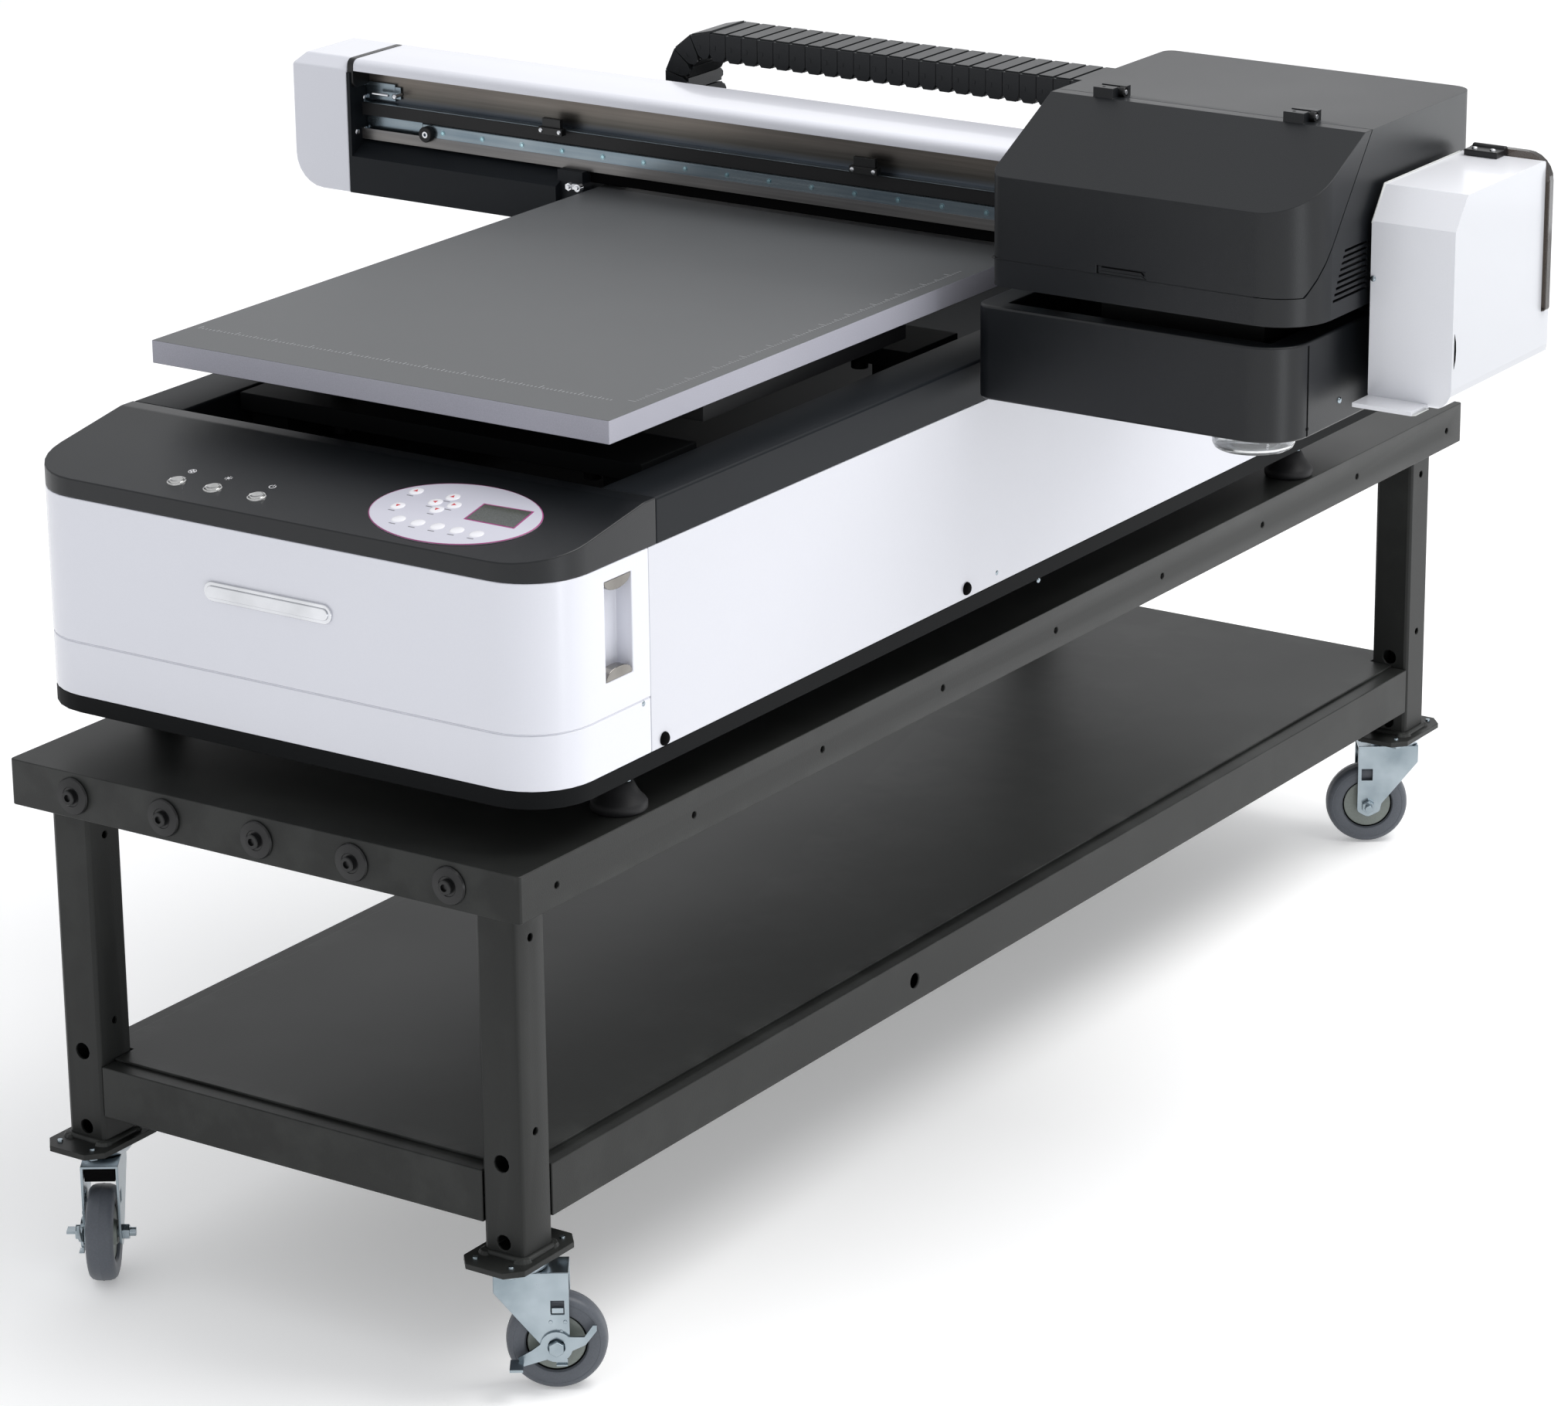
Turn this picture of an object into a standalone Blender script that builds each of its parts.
"""Flatbed UV printer on a wheeled steel cart, one object for each separate piece.

Metres, +Z up. The bed travels along Y, the print carriage along X.
Positions below are measured from the cart's front right corner on the floor:
x runs negative to the left, y runs to the back. DATUM then moves everything so
that the origin lies on the floor under the middle of the whole machine.
"""

import math

import bmesh
import bpy
from mathutils import Matrix, Vector

# ---------------------------------------------------------------- driving dimensions
DATUM = Vector((0.261, -1.00245, 0.0))
GAP = 0.0003            # air between touching pieces
OVER = 0.002            # how far a cutter reaches past what it cuts

# cart
CART_W = 0.668
CART_D = 2.036
CART_TOP = 0.590
FLANGE = 0.051
SHEET = 0.003
SHELF_INSET = 0.021
TUBE = 0.051
TUBE_WALL = 0.003
LEG_INSET = 0.0285
LEG_FOOT = 0.154
RAIL_LOW = 0.187
RAIL_HIGH = 0.245
LIP = 0.085             # bottom lip of the cart top
HOLE_PITCH = 0.2414     # small holes along the cart top's sides

# casters
PLATE_HALF = (0.039, 0.060)
PLATE_CHAMFER = (0.015, 0.017)
PLATE_T = 0.006
TRAIL = 0.037
AXLE_Z = 0.053
WHEEL_SIDES = 24
WHEEL_R = AXLE_Z / math.cos(math.pi / WHEEL_SIDES)
WHEEL_W = 0.030
FORK_T = 0.003
FORK_IN = 0.0175
FORK_TOP = 0.1355

# printer base
BASE_L, BASE_R = -0.676, 0.008
BASE_F, BASE_B = 0.046, 1.805
CORNER_R = 0.070
PAN_Z = 0.639
COVER_Z = 0.6576
GROOVE_Z = 0.7165
BEZEL_Z = 0.8756
LIP_Z = 0.8957
CAP_Z = 0.924
SLOPE_Y = 0.215
WELL_F = 0.235
SEAM_Y = 0.220
REAR_Y = 1.745
WELL_L, WELL_R = -0.6055, -0.0613
DECK_Z = 0.797
SKIN = 0.003
RAIL_X = (-0.566, -0.102)
FOOT_X = (-0.6355, -0.0325)
FOOT_Y = (0.217, 1.634)

# controls
SLOPE = math.atan2(CAP_Z - LIP_Z, SLOPE_Y - BASE_F)
BUTTON_X = (-0.489, -0.441, -0.383)
BUTTON_Y = 0.0825
BUTTON_R = 0.0080
KEYPAD_X, KEYPAD_Y = -0.159, 0.1225
KEYPAD_A, KEYPAD_B = 0.099, 0.0665

# bed
BED_X = (-0.6315, -0.0365)
BED_Y = (0.219, 1.032)
BED_Z = (0.976, 1.001)
PIN_R = 0.010

# gantry
POST_Y = (1.010, 1.100)
BEAM_X = (-0.9797, 0.4357)
BEAM_Y = (1.034, 1.100)
BEAM_Z = (1.021, 1.110)
GANTRY_Y = (1.000, 1.105)
CAP_X = (-1.062, -0.980)

# carriage and its parking station
COVER_X = (0.045, 0.429)
COVER_Y = (0.809, 1.188)
COVER_LOW = 1.022
COVER_TOP = 1.210
NOTCH_Y, NOTCH_Z = 0.975, 1.132
DOOR_Z = 1.053
SEAM_TOP_Y = 0.952
HINGE = (0.956, 1.217)
HINGE_X = ((0.097, 0.1275), (0.330, 0.3605))
STATION_X = (0.028, 0.412)
STATION_Y = (0.805, 0.9997)
STATION_Z = (0.895, 1.000)
HEAD_X = (0.150, 0.350)
INK_X = (0.4363, 0.535)
INK_Y = (0.942, 1.150)
INK_Z = (0.920, 1.150)
INK_REAR = 1.168
LID_HINGE = (1.150, 1.1535)

# drag chain
CHAIN_Y = (1.195, 1.275)
CHAIN_MID_Z = 1.0925
CHAIN_OUT, CHAIN_IN = 0.0675, 0.0325
CHAIN_BEND_X = -0.584
CHAIN_FIXED_X = -0.190
CHAIN_END_X = 0.240

PARTS = "flatbed_uv_printer"


# ---------------------------------------------------------------- materials
def material(name, colour, roughness, metallic=0.0, transmission=0.0):
    mat = bpy.data.materials.new(name)
    mat.use_nodes = True
    shader = mat.node_tree.nodes["Principled BSDF"]
    shader.inputs["Base Color"].default_value = (*colour, 1.0)
    shader.inputs["Roughness"].default_value = roughness
    shader.inputs["Metallic"].default_value = metallic
    shader.inputs["Transmission Weight"].default_value = transmission
    return mat


def make_materials():
    return {
        "cart_grey": material("cart_grey", (0.036, 0.038, 0.036), 0.5),
        "zinc": material("zinc", (0.62, 0.67, 0.70), 0.3, 1.0),
        "tyre_grey": material("tyre_grey", (0.10, 0.10, 0.12), 0.55),
        "body_black": material("body_black", (0.020, 0.024, 0.026), 0.45),
        "cover_black": material("cover_black", (0.020, 0.024, 0.026), 0.5),
        "body_white": material("body_white", (0.78, 0.79, 0.85), 0.25),
        "side_white": material("side_white", (0.78, 0.79, 0.85), 0.25),
        "steel": material("steel", (0.55, 0.54, 0.50), 0.3, 1.0),
        "rail_steel": material("rail_steel", (0.70, 0.72, 0.75), 0.25, 1.0),
        "bed_grey": material("bed_grey", (0.15, 0.15, 0.155), 0.5),
        "rubber_black": material("rubber_black", (0.012, 0.012, 0.013), 0.6),
        "button_steel": material("button_steel", (0.75, 0.75, 0.74), 0.25, 1.0),
        "keypad_film": material("keypad_film", (0.80, 0.79, 0.87), 0.35),
        "chain_black": material("chain_black", (0.018, 0.020, 0.022), 0.5),
        "clear": material("clear", (0.9, 0.92, 0.93), 0.05, 0.0, 0.9),
        "smoke": material("smoke", (0.12, 0.10, 0.09), 0.08, 0.0, 0.5),
    }


# ---------------------------------------------------------------- shaping tools
def temp_object(mesh):
    obj = bpy.data.objects.new("shape", mesh)
    bpy.context.scene.collection.objects.link(obj)
    return obj


def object_from(bm):
    bmesh.ops.recalc_face_normals(bm, faces=bm.faces[:])
    mesh = bpy.data.meshes.new("shape")
    bm.to_mesh(mesh)
    bm.free()
    return temp_object(mesh)


def block(x, y, z):
    """A box between the given pairs."""
    bm = bmesh.new()
    bmesh.ops.create_cube(bm, size=1.0)
    size = Vector((x[1] - x[0], y[1] - y[0], z[1] - z[0]))
    centre = Vector((x[0] + x[1], y[0] + y[1], z[0] + z[1])) / 2
    for vert in bm.verts:
        vert.co = Vector(c * s for c, s in zip(vert.co, size)) + centre
    return object_from(bm)


def rod(centre, radius, length, direction=(0, 0, 1), sides=24, end_radius=None):
    """A cylinder or cone about its centre, along a direction."""
    bm = bmesh.new()
    bmesh.ops.create_cone(bm, cap_ends=True, segments=sides, radius1=radius,
                          radius2=radius if end_radius is None else end_radius, depth=length)
    turn = Vector((0, 0, 1)).rotation_difference(Vector(direction)).to_matrix().to_4x4()
    bmesh.ops.transform(bm, matrix=Matrix.Translation(centre) @ turn, verts=bm.verts[:])
    return object_from(bm)


def rounded(points, steps=5):
    """Corner points (u, v) or (u, v, radius) to a list with the arcs filled in."""
    outline = []
    for i, point in enumerate(points):
        here = Vector(point[:2])
        if len(point) == 2:
            outline.append(here)
            continue
        before = (Vector(points[i - 1][:2]) - here).normalized()
        after = (Vector(points[(i + 1) % len(points)][:2]) - here).normalized()
        half = before.angle(after) / 2
        start = here + before * point[2] / math.tan(half)
        centre = here + (before + after).normalized() * point[2] / math.sin(half)
        sweep = (start - centre).angle_signed(here + after * point[2] / math.tan(half) - centre)
        for k in range(steps + 1):
            arm = (start - centre).copy()
            arm.rotate(Matrix.Rotation(-sweep * k / steps, 2))
            outline.append(centre + arm)
    return outline


def prism(points, axis, span, steps=5):
    """A flat outline extruded along an axis. Outlines are (y, z), (x, z) or (x, y)."""
    outline = rounded(points, steps)
    curve = bpy.data.curves.new("outline", "CURVE")
    curve.dimensions = "2D"
    curve.fill_mode = "BOTH"
    curve.extrude = (span[1] - span[0]) / 2
    spline = curve.splines.new("POLY")
    spline.points.add(len(outline) - 1)
    for spot, place in zip(spline.points, outline):
        spot.co = (place.x, place.y, 0.0, 1.0)
    spline.use_cyclic_u = True
    obj = bpy.data.objects.new("outline", curve)
    bpy.context.scene.collection.objects.link(obj)
    graph = bpy.context.evaluated_depsgraph_get()
    mesh = bpy.data.meshes.new_from_object(obj.evaluated_get(graph))
    bpy.data.objects.remove(obj)
    middle = (span[0] + span[1]) / 2
    columns = {"X": ((0, 1, 0), (0, 0, 1), (1, 0, 0)),
               "Y": ((1, 0, 0), (0, 0, 1), (0, 1, 0)),
               "Z": ((1, 0, 0), (0, 1, 0), (0, 0, 1))}[axis]
    frame = Matrix(columns).transposed().to_4x4()
    bm = bmesh.new()
    bm.from_mesh(mesh)
    bmesh.ops.remove_doubles(bm, verts=bm.verts[:], dist=1e-6)
    bmesh.ops.transform(bm, matrix=frame @ Matrix.Translation((0, 0, middle)), verts=bm.verts[:])
    return object_from(bm)


def turned(profile, sides=32):
    """A profile (radius, height) from top to bottom, turned about Z."""
    mesh = bpy.data.meshes.new("profile")
    points = [(r, 0.0, h) for r, h in profile]
    edges = [(i, i + 1) for i in range(len(points) - 1)]
    if profile[0][0] > 0:
        edges.append((len(points) - 1, 0))
    mesh.from_pydata(points, edges, [])
    obj = temp_object(mesh)
    screw = obj.modifiers.new("turn", "SCREW")
    screw.steps = sides
    screw.render_steps = sides
    screw.use_merge_vertices = True
    screw.merge_threshold = 0.00005
    applied(obj)
    bm = bmesh.new()
    bm.from_mesh(obj.data)
    bpy.data.objects.remove(obj)
    bmesh.ops.remove_doubles(bm, verts=bm.verts[:], dist=1e-6)
    return object_from(bm)


def applied(obj):
    """Replace the object's mesh by what its modifiers make of it."""
    graph = bpy.context.evaluated_depsgraph_get()
    mesh = bpy.data.meshes.new_from_object(obj.evaluated_get(graph))
    obj.modifiers.clear()
    obj.data = mesh
    return obj


def combine(base, tools, operation):
    for tool in tools:
        boolean = base.modifiers.new(operation.lower(), "BOOLEAN")
        boolean.operation = operation
        boolean.object = tool
        applied(base)
        bpy.data.objects.remove(tool)
    return base


def join(base, *tools):
    return combine(base, tools, "UNION")


def cut(base, *tools):
    return combine(base, tools, "DIFFERENCE")


def common(base, *tools):
    return combine(base, tools, "INTERSECT")


def moved(obj, matrix):
    obj.data.transform(matrix)
    return obj


def tidy(obj):
    """Merge coincident points and dissolve the needless edges that Booleans leave."""
    bm = bmesh.new()
    bm.from_mesh(obj.data)
    bmesh.ops.remove_doubles(bm, verts=bm.verts[:], dist=2e-6)
    bmesh.ops.dissolve_limit(bm, angle_limit=math.radians(0.05), verts=bm.verts[:], edges=bm.edges[:])
    bmesh.ops.triangulate(bm, faces=bm.faces[:])
    bm.to_mesh(obj.data)
    bm.free()


def place(obj, name, slot, pivot=(0.0, 0.0, 0.0)):
    """Name a finished piece, give it its material and put its origin on its pivot."""
    tidy(obj)
    pivot = Vector(pivot)
    obj.data.transform(Matrix.Translation(-pivot))
    obj.location = pivot + DATUM
    obj.name = name
    obj.data.name = name
    obj.data.materials.clear()
    obj.data.materials.append(MATERIALS[slot])
    obj.data.shade_smooth()
    obj.data.set_sharp_from_angle(angle=math.radians(32))
    bpy.context.scene.collection.objects.unlink(obj)
    COLLECTION.objects.link(obj)
    return obj


def tube_between(axis, low, high, wall):
    """A square tube along an axis, open at both ends. low and high are its corners."""
    inner_low = [v + wall for v in low]
    inner_high = [v - wall for v in high]
    along = "XYZ".index(axis)
    inner_low[along] = low[along] - OVER
    inner_high[along] = high[along] + OVER
    outer = block(*zip(low, high))
    return cut(outer, block(*zip(inner_low, inner_high)))


def rect(x, y, r=None):
    """The four corners of a rectangle, counter-clockwise, each with a radius or a list of radii."""
    corners = [(x[0], y[0]), (x[1], y[0]), (x[1], y[1]), (x[0], y[1])]
    radii = r if isinstance(r, (list, tuple)) else [r] * 4
    return [c if not q else (*c, q) for c, q in zip(corners, radii)]


# ---------------------------------------------------------------- cart
LEGS = {"fr": (-LEG_INSET - TUBE / 2, LEG_INSET + TUBE / 2),
        "fl": (-CART_W + LEG_INSET + TUBE / 2, LEG_INSET + TUBE / 2),
        "rr": (-LEG_INSET - TUBE / 2, CART_D - LEG_INSET - TUBE / 2),
        "rl": (-CART_W + LEG_INSET + TUBE / 2, CART_D - LEG_INSET - TUBE / 2)}
HEADINGS = {"fr": 34.12, "fl": -55.88, "rr": -145.88, "rl": -160.0}


def cart_top():
    low = CART_TOP - FLANGE
    outline = rect((-CART_W, 0.0), (0.0, CART_D), 0.004)
    tray = prism(outline, "Z", (low, CART_TOP), steps=2)
    inner = block((SHEET - CART_W, -SHEET), (SHEET, CART_D - SHEET), (low + SHEET, CART_TOP - SHEET))
    mouth = block((LIP - CART_W, -LIP), (LIP, CART_D - LIP), (low - OVER, low + SHEET + OVER))
    cut(tray, inner, mouth)
    for k in range(9):
        hole_y = 0.063 + HOLE_PITCH * k
        cut(tray, rod((-CART_W / 2, hole_y, CART_TOP - 0.028), 0.004, CART_W + 0.02, (1, 0, 0), 8))
    place(tray, "cart_top", "cart_grey")


def cart_leg(corner):
    x, y = LEGS[corner]
    half = TUBE / 2
    top = CART_TOP - FLANGE - GAP
    plate_low = LEG_FOOT - PLATE_T
    leg = prism(rect((x - half, x + half), (y - half, y + half), 0.005), "Z", (LEG_FOOT, top), steps=2)
    a, b = PLATE_HALF
    ca, cb = PLATE_CHAMFER
    octagon = [(x - a + ca, y - b), (x + a - ca, y - b), (x + a, y - b + cb), (x + a, y + b - cb),
               (x + a - ca, y + b), (x - a + ca, y + b), (x - a, y + b - cb), (x - a, y - b + cb)]
    join(leg, prism(octagon, "Z", (plate_low, LEG_FOOT + 0.0005)))
    dome = turned([(0.0, plate_low + 0.001), (0.0315, plate_low + 0.001), (0.0315, 0.1430),
                   (0.0275, FORK_TOP + 0.0007), (0.0, FORK_TOP + 0.0007)], 24)
    join(leg, moved(dome, Matrix.Translation((x, y, 0.0))))
    wall = half - TUBE_WALL
    cut(leg, block((x - wall, x + wall), (y - wall, y + wall), (LEG_FOOT + 0.002, top + OVER)))
    for z, radius in ((0.258, 0.0095), (0.170, 0.0085)):
        cut(leg, rod((x, y, z), radius, TUBE + 0.01, (0, 1, 0), 12))
    for z in (0.503, 0.291):
        cut(leg, rod((x, y, z), 0.0045, TUBE + 0.01, (1, 0, 0), 8))
    place(leg, "cart_leg_" + corner, "cart_grey")


def lower_rails():
    left, right = LEGS["fl"][0], LEGS["fr"][0]
    front, rear = LEGS["fr"][1], LEGS["rr"][1]
    half = TUBE / 2
    for name, y in (("lower_rail_front", front), ("lower_rail_rear", rear)):
        rail = tube_between("X", (left + half + GAP, y - half, RAIL_LOW),
                            (right - half - GAP, y + half, RAIL_HIGH), TUBE_WALL)
        place(rail, name, "cart_grey")
    for name, x in (("lower_rail_left", left), ("lower_rail_right", right)):
        rail = tube_between("Y", (x - half, front + half + GAP, RAIL_LOW),
                            (x + half, rear - half - GAP, RAIL_HIGH), TUBE_WALL)
        outside = 1 if x == right else -1
        cut(rail, rod((x + outside * half, 0.772, 0.213), 0.009, 0.03, (1, 0, 0), 12))
        place(rail, name, "cart_grey")


def cart_shelf():
    low = RAIL_HIGH + GAP
    edge = LEG_INSET + SHELF_INSET
    shelf = block((edge - CART_W, -edge), (edge, CART_D - edge), (low, low + SHEET))
    notch = TUBE / 2 + 0.001
    for x, y in LEGS.values():
        cut(shelf, block((x - notch, x + notch), (y - notch, y + notch), (low - OVER, low + 2 * SHEET)))
    place(shelf, "cart_shelf", "cart_grey")


def caster_fork(corner, frame):
    """Bent sheet fork with the axle bolt; local X is the trail, local -Y the brake side."""
    out = FORK_IN + FORK_T
    cheek = [(-0.027, FORK_TOP), (-0.027, 0.1130), (0.0190, 0.0560), (0.0215, 0.0450, 0.006),
             (0.0370, 0.0370, 0.008), (0.0510, 0.0450, 0.006), (0.0510, FORK_TOP)]
    fork = prism(cheek, "Y", (-out, out), steps=3)
    cut(fork, block((-0.04, 0.06), (-FORK_IN, FORK_IN), (0.0, FORK_TOP - FORK_T)))
    cut(fork, block((0.0320, 0.0460), (-out - OVER, out + OVER), (0.0885, 0.1040)))
    bolt_end = out + 0.0085
    join(fork, rod((TRAIL, 0.0, AXLE_Z), 0.006, 2 * (out + 0.001), (0, 1, 0), 12))
    join(fork, rod((TRAIL, -out - 0.0045, AXLE_Z), 0.0088, 0.0110, (0, 1, 0), 6))
    join(fork, rod((TRAIL, out + 0.0035, AXLE_Z), 0.0088, 0.0080, (0, 1, 0), 6))
    join(fork, rod((TRAIL, bolt_end, AXLE_Z), 0.005, 0.0120, (0, 1, 0), 12))
    place(moved(fork, frame), "caster_fork_" + corner, "zinc", frame.translation)


def caster_wheel(corner, frame):
    """Tyre on a hub, bored for the axle bolt."""
    profile = [(0.0066, 0.0150), (0.0130, 0.0150), (0.0140, 0.0100), (0.0310, 0.0100), (0.0330, 0.0135),
               (0.0450, 0.0150), (0.0505, 0.0125), (WHEEL_R, 0.0060)]
    profile += [(r, -h) for r, h in reversed(profile)]
    wheel = turned(profile, WHEEL_SIDES)
    lay = Matrix.Translation((TRAIL, 0.0, AXLE_Z)) @ Matrix.Rotation(math.pi / 2, 4, "X")
    settle = Matrix.Rotation(math.pi / WHEEL_SIDES, 4, "Z")
    moved(wheel, frame @ lay @ settle)
    place(wheel, "caster_wheel_" + corner, "tyre_grey", frame @ Vector((TRAIL, 0.0, AXLE_Z)))


def caster_brake(corner, frame):
    """Side lever that turns on the axle: a hub plate, a pedal arm and a hooked toe."""
    low, high = -FORK_IN - FORK_T - 0.0033, -FORK_IN - FORK_T - GAP
    x, z = TRAIL, AXLE_Z
    plate = rod((x, (low + high) / 2, z), 0.0170, high - low, (0, 1, 0), 24)
    arm = [(x - 0.0400, z - 0.0120), (x - 0.0360, z - 0.0220), (x - 0.0100, z - 0.0140),
           (x, z), (x - 0.0100, z + 0.0080), (x - 0.0260, z - 0.0040)]
    toe = [(x, z - 0.0120), (x + 0.0300, z + 0.0020), (x + 0.0420, z + 0.0180), (x + 0.0420, z + 0.0240),
           (x + 0.0380, z + 0.0240), (x + 0.0290, z + 0.0110), (x + 0.0200, z + 0.0110), (x, z + 0.0120)]
    pedal = block((x - 0.0480, x - 0.0340), (low - 0.0220, high), (z - 0.0180, z - 0.0150))
    join(plate, prism(arm, "Y", (low, high)), prism(toe, "Y", (low, high)), pedal)
    cut(plate, rod((x, low, z), 0.0095, 0.02, (0, 1, 0), 16))
    place(moved(plate, frame), "caster_brake_" + corner, "zinc", frame @ Vector((x, 0.0, z)))


def casters():
    for corner, (x, y) in LEGS.items():
        turn = Matrix.Rotation(math.radians(HEADINGS[corner]), 4, "Z")
        frame = Matrix.Translation((x, y, 0.0)) @ turn
        caster_fork(corner, frame)
        caster_wheel(corner, frame)
        caster_brake(corner, frame)


# ---------------------------------------------------------------- printer base
def base_plan(inset=0.0, back=BASE_B):
    r = CORNER_R - inset
    return rect((BASE_L + inset, BASE_R - inset), (BASE_F + inset, back), [r, r, 0, 0])


def base_chassis():
    """Black bottom pan with the welded box that carries the rails; the box is open at both ends."""
    top = COVER_Z - GAP
    pan = prism(base_plan(), "Z", (PAN_Z, top), steps=6)
    cut(pan, prism(base_plan(0.006, BASE_B - 0.006), "Z", (PAN_Z + SKIN, top + OVER), steps=6))
    box = tube_between("Y", (-0.620, 0.245, PAN_Z + 0.001), (-0.048, 1.730, DECK_Z), SKIN)
    place(join(pan, box), "base_chassis", "body_black")


def front_covers():
    """Two white bands that wrap the front and both front corners, with a groove between them."""
    back = SEAM_Y - GAP
    for name, low, high in (("front_cover_lower", COVER_Z, GROOVE_Z),
                            ("front_cover_upper", GROOVE_Z + 0.0012, BEZEL_Z - GAP)):
        band = prism(base_plan(0.0, back), "Z", (low, high), steps=8)
        cut(band, prism(base_plan(SKIN, back + OVER), "Z", (low - OVER, high + OVER), steps=8))
        if name == "front_cover_upper":
            join(band, block((-0.016, BASE_R - 0.001), (0.140, 0.194), (0.749, 0.863)))
            cut(band, block((-0.012, BASE_R + OVER), (0.144, 0.190), (0.753, 0.859)))
        place(band, name, "body_white")


def bezel_profile(drop=0.0, back=WELL_F):
    return [(BASE_F - 0.001, BEZEL_Z - 0.01), (back, BEZEL_Z - 0.01), (back, CAP_Z - drop),
            (SLOPE_Y, CAP_Z - drop, 0.03), (BASE_F - 0.001, LIP_Z - drop)]


def on_slope(x, y, height=0.0):
    """A point above the sloped control surface, measured along its normal."""
    z = LIP_Z + (y - BASE_F) * math.tan(SLOPE)
    return Vector((x, y, z)) + Vector((0, -math.sin(SLOPE), math.cos(SLOPE))) * height


def control_bezel():
    normal = Vector((0, -math.sin(SLOPE), math.cos(SLOPE)))
    shell = prism(bezel_profile(), "X", (BASE_L - 0.01, BASE_R + 0.01), steps=4)
    common(shell, prism(base_plan(0.0, 0.3), "Z", (BEZEL_Z, 1.0), steps=8))
    inner = prism(bezel_profile(SKIN, WELL_F - SKIN), "X", (BASE_L - 0.01, BASE_R + 0.01), steps=4)
    common(inner, prism(base_plan(SKIN, 0.3), "Z", (BEZEL_Z - 0.005, 1.0), steps=8))
    cut(shell, inner)
    skirt = block((WELL_L + 0.003, WELL_R - 0.003), (WELL_F - SKIN, WELL_F), (DECK_Z + 0.003, CAP_Z - 0.02))
    join(shell, skirt)
    for x in BUTTON_X:
        cut(shell, rod(on_slope(x, BUTTON_Y), BUTTON_R + GAP, 0.03, normal, 20))
    place(shell, "control_bezel", "cover_black")


def side_panels():
    for name, low, high in (("side_panel_left", BASE_L, BASE_L + SKIN),
                            ("side_panel_right", BASE_R - SKIN, BASE_R)):
        panel = block((low, high), (SEAM_Y + GAP, REAR_Y - GAP), (COVER_Z, BEZEL_Z - GAP))
        place(panel, name, "side_white")


def rail_caps():
    """Black folded caps: outer wall, top, and an inner wall that goes down into the well."""
    for name, outer, inner in (("rail_cap_left", BASE_L, WELL_L), ("rail_cap_right", BASE_R, WELL_R)):
        way = 1 if inner > outer else -1
        outline = [(outer, BEZEL_Z), (outer, CAP_Z, 0.003), (inner, CAP_Z, 0.003), (inner, DECK_Z + GAP),
                   (inner - way * SKIN, DECK_Z + GAP), (inner - way * SKIN, CAP_Z - SKIN),
                   (outer + way * SKIN, CAP_Z - SKIN), (outer + way * SKIN, BEZEL_Z)]
        cap = prism(outline, "Y", (WELL_F + GAP, REAR_Y - GAP), steps=2)
        place(cap, name, "body_black")


def rear_panel():
    """Rear hood that closes the base behind the well, with the mains inlet."""
    hood = block((BASE_L, BASE_R), (REAR_Y, BASE_B), (COVER_Z, CAP_Z))
    cut(hood, block((BASE_L + SKIN, BASE_R - SKIN), (REAR_Y - OVER, BASE_B - SKIN),
                    (COVER_Z + SKIN, CAP_Z - SKIN)))
    join(hood, block((-0.200, -0.130), (BASE_B - 0.028, BASE_B - 0.001), (0.700, 0.750)))
    cut(hood, block((-0.188, -0.161), (BASE_B - 0.022, BASE_B + OVER), (0.714, 0.734)))
    cut(hood, block((-0.152, -0.140), (BASE_B - 0.022, BASE_B + OVER), (0.712, 0.738)))
    for k in range(8):
        slot_z = 0.720 + 0.012 * k
        cut(hood, block((-0.560, -0.440), (BASE_B - 2 * SKIN, BASE_B + OVER), (slot_z, slot_z + 0.005)))
    place(hood, "rear_panel", "body_black")


def feet():
    for side, x in zip(("left", "right"), FOOT_X):
        for end, y in zip(("front", "rear"), FOOT_Y):
            foot = turned([(0.0, PAN_Z - GAP), (0.008, PAN_Z - GAP), (0.008, 0.6200), (0.014, 0.6200),
                           (0.018, 0.6140), (0.028, 0.6010), (0.030, 0.5960), (0.030, CART_TOP + GAP),
                           (0.0, CART_TOP + GAP)], 24)
            moved(foot, Matrix.Translation((x, y, 0.0)))
            place(foot, "foot_" + end + "_" + side, "rubber_black")


def y_rails():
    """Rail on its riser beam, one on each side of the well."""
    for side, x in zip(("left", "right"), RAIL_X):
        rail = tube_between("Y", (x - 0.022, 0.250, DECK_Z + GAP), (x + 0.022, 1.720, 0.862), 0.0035)
        head = prism([(x - 0.012, 0.861), (x + 0.012, 0.861), (x + 0.012, 0.867), (x + 0.008, 0.871),
                      (x + 0.008, 0.876), (x + 0.012, 0.880), (x + 0.012, 0.884), (x - 0.012, 0.884),
                      (x - 0.012, 0.880), (x - 0.008, 0.876), (x - 0.008, 0.871), (x - 0.012, 0.867)],
                     "Y", (0.256, 1.714))
        place(join(rail, head), "y_rail_" + side, "rail_steel")


def buttons():
    for name, x in zip(("button_left", "button_middle", "button_right"), BUTTON_X):
        cap = turned([(0.0, 0.0028), (BUTTON_R - 0.0022, 0.0028), (BUTTON_R - 0.0012, 0.0020),
                      (BUTTON_R - GAP, 0.0010), (BUTTON_R - GAP, -0.0090), (0.0, -0.0090)], 20)
        tilt = Matrix.Rotation(SLOPE, 4, "X")
        place(moved(cap, Matrix.Translation(on_slope(x, BUTTON_Y)) @ tilt), name, "button_steel",
              on_slope(x, BUTTON_Y))


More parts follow.
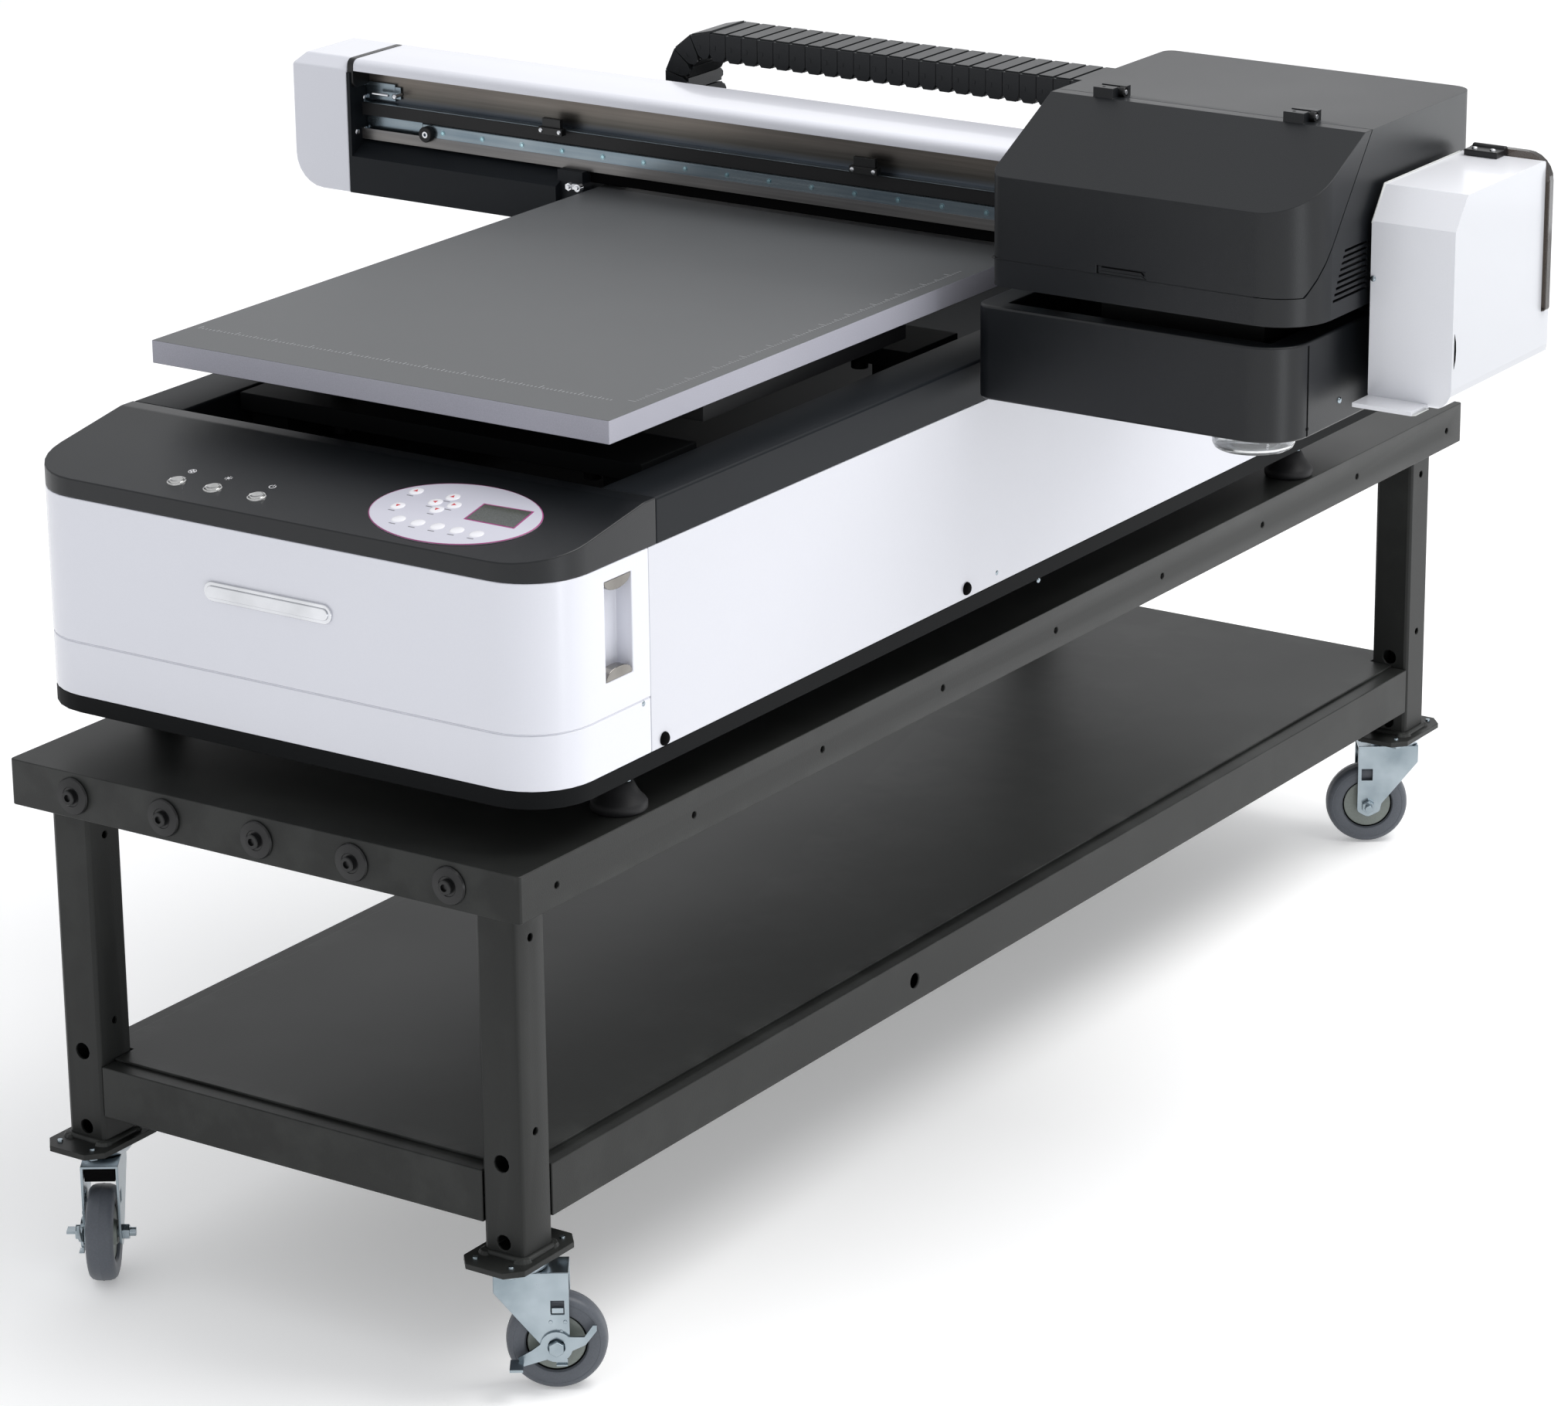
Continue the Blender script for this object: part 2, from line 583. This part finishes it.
def keypad():
    """Oval membrane overlay that lies on the sloped control surface."""
    bm = bmesh.new()
    bmesh.ops.create_cone(bm, cap_ends=True, segments=48, radius1=KEYPAD_A, radius2=KEYPAD_A, depth=0.0012)
    oval = object_from(bm)
    squeeze = Matrix.Diagonal((1.0, KEYPAD_B / KEYPAD_A, 1.0, 1.0))
    tilt = Matrix.Rotation(SLOPE, 4, "X")
    spot = on_slope(KEYPAD_X, KEYPAD_Y, 0.0006 + GAP)
    place(moved(oval, Matrix.Translation(spot) @ tilt @ squeeze), "keypad", "keypad_film")


# ---------------------------------------------------------------- bed
BLOCK_Y = ((0.330, 0.410), (0.840, 0.920))
PIN_X = (-0.500, -0.168)


def bed_carriage():
    """Ladder plate on four rail blocks, bored for the bed's four lift pins."""
    low, high = 0.905, 0.925
    plate = block((-0.450, -0.218), (0.325, 0.925), (low, high))
    for y in BLOCK_Y:
        join(plate, block((-0.598, -0.070), (y[0] - 0.010, y[1] + 0.010), (low, high)))
        for x in RAIL_X:
            saddle = block((x - 0.024, x + 0.024), y, (0.870, low + 0.001))
            cut(saddle, block((x - 0.0125, x + 0.0125), (y[0] - OVER, y[1] + OVER), (0.860, 0.8845)))
            join(plate, saddle)
        for x in PIN_X:
            cut(plate, rod((x, sum(y) / 2, 0.915), PIN_R + 0.0006, 0.05, sides=16))
    place(plate, "bed_carriage", "body_black")


def print_bed():
    """Thick aluminium table with four lift pins and two side bars below."""
    bed = block(BED_X, BED_Y, BED_Z)
    for y in BLOCK_Y:
        for x in PIN_X:
            join(bed, rod((x, sum(y) / 2, (BED_Z[0] + 0.885) / 2), PIN_R, BED_Z[0] - 0.885 + 0.004, sides=16))
    for x in ((-0.600, -0.563), (-0.105, -0.068)):
        join(bed, block(x, (BLOCK_Y[0][1] + 0.020, BLOCK_Y[1][0] - 0.020), (0.944, BED_Z[0] + 0.002)))
    place(bed, "print_bed", "bed_grey")


# ---------------------------------------------------------------- gantry
def gantry_arms():
    foot = CAP_Z + GAP
    front, back = GANTRY_Y
    under = BEAM_Z[0] - GAP
    # left: post on the base, black box out to the end cap, and the end plate with its screws
    slope = [(front, 0.957), (POST_Y[1], 0.957), (POST_Y[1], under), (BEAM_Y[0], under), (front, 1.002)]
    left = prism(slope, "X", (CAP_X[1] + GAP, -0.672))
    join(left, block((BASE_L, -0.640), POST_Y, (foot, under)))
    join(left, block((CAP_X[1] + GAP, CAP_X[1] + 0.005), (front, BEAM_Y[0] - GAP), (0.957, 1.104)))
    cut(left, block((CAP_X[1] + 0.008, -0.680), (front + 0.004, POST_Y[1] - 0.004), (0.950, 0.998)))
    cut(left, block((BASE_L + 0.004, -0.644), (POST_Y[0] + 0.004, POST_Y[1] - 0.004), (foot - OVER, 1.016)))
    place(left, "gantry_arm_left", "body_black")
    # right: post on the base and the box that reaches under the parked carriage
    right = block((BASE_R + 2 * GAP, BEAM_X[1]), (front, back), (0.895, 1.002))
    join(right, block((-0.028, 0.012), POST_Y, (foot, under)))
    join(right, block((0.010, BEAM_X[1]), (BEAM_Y[0], POST_Y[1]), (1.000, under)))
    cut(right, block((BASE_R + 0.006, BEAM_X[1] - 0.004), (front + 0.004, back - 0.004), (0.890, 0.998)))
    cut(right, block((-0.024, 0.006), (POST_Y[0] + 0.004, POST_Y[1] - 0.004), (foot - OVER, 1.016)))
    place(right, "gantry_arm_right", "body_black")


def gantry_beam():
    """Hollow beam with the chain tray along its back."""
    beam = block(BEAM_X, BEAM_Y, BEAM_Z)
    cut(beam, block((BEAM_X[0] - OVER, BEAM_X[1] + OVER), (BEAM_Y[0] + 0.004, BEAM_Y[1] - 0.004),
                    (BEAM_Z[0] + 0.004, BEAM_Z[1] - 0.004)))
    tray = [(BEAM_Y[1] - 0.001, 1.0213), (1.2860, 1.0213), (1.2860, 1.0400), (1.2845, 1.0400),
            (1.2845, 1.0243), (BEAM_Y[1] - 0.001, 1.0243)]
    join(beam, prism(tray, "X", (-0.900, CHAIN_END_X)))
    place(beam, "gantry_beam", "steel")


def beam_cover():
    """White folded cover over the beam, open below, with a rounded front edge."""
    front = GANTRY_Y[0] + 0.003
    low, top = BEAM_Z[1] + GAP, 1.120
    outline = [(front, 1.106), (front, top, 0.009), (GANTRY_Y[1], top, 0.003), (GANTRY_Y[1], 1.090),
               (GANTRY_Y[1] - 0.002, 1.090), (GANTRY_Y[1] - 0.002, low), (front + 0.010, low),
               (front + 0.008, 1.106)]
    place(prism(outline, "X", (CAP_X[1] + GAP, BEAM_X[1]), steps=5), "beam_cover", "body_white")


def end_cap():
    """White moulded cap on the left end, hollow and open towards the beam."""
    low, top = 0.957, 1.120
    front, back = GANTRY_Y
    shell = prism([(front, low), (back, low), (back, top), (front + 0.013, top), (front, 1.107)],
                  "X", CAP_X)
    outline = [(CAP_X[0], low, 0.040), (CAP_X[1] + 0.01, low), (CAP_X[1] + 0.01, top + 0.01),
               (CAP_X[0] + 0.013, top + 0.01), (CAP_X[0] + 0.013, top), (CAP_X[0], top - 0.013)]
    common(shell, prism(outline, "Y", (front - 0.01, back + 0.01), steps=6))
    cut(shell, block((CAP_X[0] + 0.004, CAP_X[1] + OVER), (front + 0.004, back - 0.004),
                     (low + 0.030, top - 0.017)))
    cut(shell, block((CAP_X[0] + 0.044, CAP_X[1] + OVER), (front + 0.004, back - 0.004),
                     (low + 0.004, low + 0.032)))
    place(shell, "gantry_end_cap", "body_white")


def carriage_rail():
    front, back = BEAM_Y[0] - 0.0125, BEAM_Y[0] - GAP
    low, high = 1.0265, 1.0475
    outline = [(back, low), (back, high), (front + 0.0065, high), (front + 0.005, high - 0.003),
               (front + 0.003, high - 0.003), (front, high), (front, low), (front + 0.003, low + 0.003),
               (front + 0.005, low + 0.003), (front + 0.0065, low)]
    place(prism(outline, "X", (-0.880, 0.400)), "carriage_rail", "rail_steel")


# ---------------------------------------------------------------- carriage
DOOR_FOOT_Y = 0.832     # where the side seam meets the front band


def door_side(gap=0.0):
    """Side outline of the door region: its seam leans back from the front band to the top."""
    high = COVER_TOP + 0.03
    lean = (SEAM_TOP_Y - DOOR_FOOT_Y) / (COVER_TOP - DOOR_Z)
    top_y = DOOR_FOOT_Y + lean * (high - DOOR_Z)
    return [(0.78, DOOR_Z - gap), (DOOR_FOOT_Y + gap, DOOR_Z - gap), (top_y + gap, high), (0.78, high)]


def cover_profile(t=0.0):
    """Side view of the carriage cover, stepped over the gantry; t insets it for the open hollow."""
    notch_y, notch_z = NOTCH_Y + 2 * t, NOTCH_Z - 2 * t
    return [(COVER_Y[0] + t, COVER_LOW - 2 * t), (notch_y, COVER_LOW - 2 * t), (notch_y, notch_z),
            (COVER_Y[1] - t, notch_z), (COVER_Y[1] - t, COVER_TOP - t),
            (0.937 + t * 0.4, COVER_TOP - t), (COVER_Y[0] + t, 1.143 - t * 0.6)]


def cover_shell(t=0.0):
    solid = prism(cover_profile(t), "X", (COVER_X[0] - 0.01, COVER_X[1] + 0.01))
    plan = rect((COVER_X[0] + t, COVER_X[1] - t), (COVER_Y[0] + t, COVER_Y[1] - t),
                [0.016 - t, 0.060 - t, 0.024 - t, 0.012 - t])
    return common(solid, prism(plan, "Z", (0.9, 1.3), steps=8))


def carriage_covers():
    cover = cut(cover_shell(), cover_shell(SKIN))
    door = cover_copy(cover)
    span = (COVER_X[0] - 0.02, COVER_X[1] + 0.02)
    common(door, prism(door_side(), "X", span))
    cut(cover, prism(door_side(0.001), "X", span))
    cut(door, block((0.179, 0.240), (0.800, 0.820), (DOOR_Z - 0.01, DOOR_Z + 0.009)))
    for leaf in HINGE_X:
        join(cover, block(leaf, (HINGE[0] + 0.0005, 0.966), (COVER_TOP - 0.001, 1.221)))
        join(door, block((leaf[0], leaf[1] - 0.006), (0.938, 0.9505), (1.2095, 1.221)))
    join(cover, block((CHAIN_END_X + GAP, 0.320), (COVER_Y[1] - 0.002, CHAIN_Y[1]), (1.1325, 1.1590)))
    for k in range(9):
        z = 1.040 + 0.0062 * k
        start = 0.873 + 0.0030 * k
        cut(cover, block((COVER_X[1] - 0.010, COVER_X[1] + OVER), (start, 0.947), (z, z + 0.0028)))
    place(cover, "carriage_cover", "cover_black")
    place(door, "carriage_door", "cover_black", (0.237, *HINGE))


def cover_copy(obj):
    return temp_object(obj.data.copy())


def print_head():
    """Head block under a carrier plate that runs on the rail."""
    head = block(HEAD_X, (0.870, 0.990), (1.006, 1.062))
    join(head, block((0.110, 0.390), (0.860, 1.018), (1.060, 1.068)))
    join(head, block((0.110, 0.390), (1.010, 1.018), (1.048, 1.100)))
    join(head, block((0.110, 0.390), (1.0115, 1.0205), (1.0225, 1.062)))
    place(head, "print_head", "steel")


# ---------------------------------------------------------------- parking station and inks
def station():
    outline = rect(STATION_X, STATION_Y, [0.020, 0.050, 0, 0])
    shell = prism(outline, "Z", STATION_Z, steps=8)
    cut(shell, block((0.060, 0.380), (0.830, 0.975), (0.910, STATION_Z[1] + OVER)))
    place(shell, "station_housing", "cover_black")
    tray = block((0.150, 0.350), (0.870, 0.965), (0.984, 1.0045))
    cut(tray, block((0.158, 0.342), (0.878, 0.957), (0.990, 1.010)))
    join(tray, block((0.240, 0.260), (0.910, 0.930), (0.935, 0.988)))
    place(tray, "capping_tray", "steel")
    bottle = turned([(0.0, 0.876), (0.041, 0.876), (0.042, 0.8947), (0.0445, 0.8947), (0.0445, 0.878),
                     (0.041, 0.874), (0.0, 0.874)], 28)
    place(moved(bottle, Matrix.Translation((0.342, 0.865, 0.0))), "waste_bottle", "clear")


def ink_system():
    low, top = INK_Z
    front, back = INK_Y
    left, right = INK_X
    side = [(front, low, 0.008), (INK_REAR, low, 0.010), (INK_REAR, 0.983), (back, 0.983), (back, top, 0.003),
            (0.968, top), (front, 1.115)]
    box = prism(side, "X", (left, right), steps=3)
    face = rect((left, right), (low, top + 0.02), [0, 0.024, 0, 0])
    common(box, prism(face, "Y", (front - 0.01, 1.2), steps=5))
    inside = prism([(front + 0.003, low + 0.020), (back + OVER, low + 0.020), (back + OVER, top - 0.004),
                    (0.971, top - 0.004), (front + 0.003, 1.112)], "X", (left + 0.003, right - 0.003))
    cut(box, inside)
    join(box, block((left, 0.507), (0.907, front + 0.010), (0.9205, 0.9250)))
    place(box, "ink_box", "body_white")
    lid = prism(rect((0.440, 0.540), (0.9835, 1.157), [0.004, 0.004, 0.030, 0.010]),
                "Y", (back + 0.0005, INK_REAR - 0.008), steps=6)
    cut(lid, block((0.442, 0.538), (back - OVER, INK_REAR - 0.010), (0.9855, 1.126)))
    place(lid, "ink_lid", "smoke", (0.490, *LID_HINGE))


# ---------------------------------------------------------------- drag chain
def drag_chain():
    upper = block((CHAIN_BEND_X + GAP, CHAIN_END_X), CHAIN_Y,
                  (CHAIN_MID_Z + CHAIN_IN, CHAIN_MID_Z + CHAIN_OUT))
    place(upper, "chain_upper", "chain_black", (CHAIN_END_X, sum(CHAIN_Y) / 2, CHAIN_MID_Z))
    lower = block((CHAIN_BEND_X + GAP, CHAIN_FIXED_X), CHAIN_Y,
                  (CHAIN_MID_Z - CHAIN_OUT, CHAIN_MID_Z - CHAIN_IN))
    place(lower, "chain_lower", "chain_black")
    middle_y = sum(CHAIN_Y) / 2
    length = CHAIN_Y[1] - CHAIN_Y[0]
    bend = rod((CHAIN_BEND_X, middle_y, CHAIN_MID_Z), CHAIN_OUT, length, (0, 1, 0), 32)
    cut(bend, rod((CHAIN_BEND_X, middle_y, CHAIN_MID_Z), CHAIN_IN, length + 0.01, (0, 1, 0), 24))
    cut(bend, block((CHAIN_BEND_X, CHAIN_BEND_X + 0.2), (1.1, 1.4), (0.9, 1.3)))
    place(bend, "chain_bend", "chain_black", (CHAIN_BEND_X, middle_y, CHAIN_MID_Z))


# ---------------------------------------------------------------- build
def clear_scene():
    for obj in list(bpy.data.objects):
        bpy.data.objects.remove(obj, do_unlink=True)


clear_scene()
MATERIALS = make_materials()
COLLECTION = bpy.data.collections.new(PARTS)
bpy.context.scene.collection.children.link(COLLECTION)

cart_top()
for leg_corner in LEGS:
    cart_leg(leg_corner)
lower_rails()
cart_shelf()
casters()
base_chassis()
front_covers()
control_bezel()
side_panels()
rail_caps()
rear_panel()
feet()
y_rails()
buttons()
keypad()
bed_carriage()
print_bed()
gantry_arms()
gantry_beam()
beam_cover()
end_cap()
carriage_rail()
carriage_covers()
print_head()
station()
ink_system()
drag_chain()
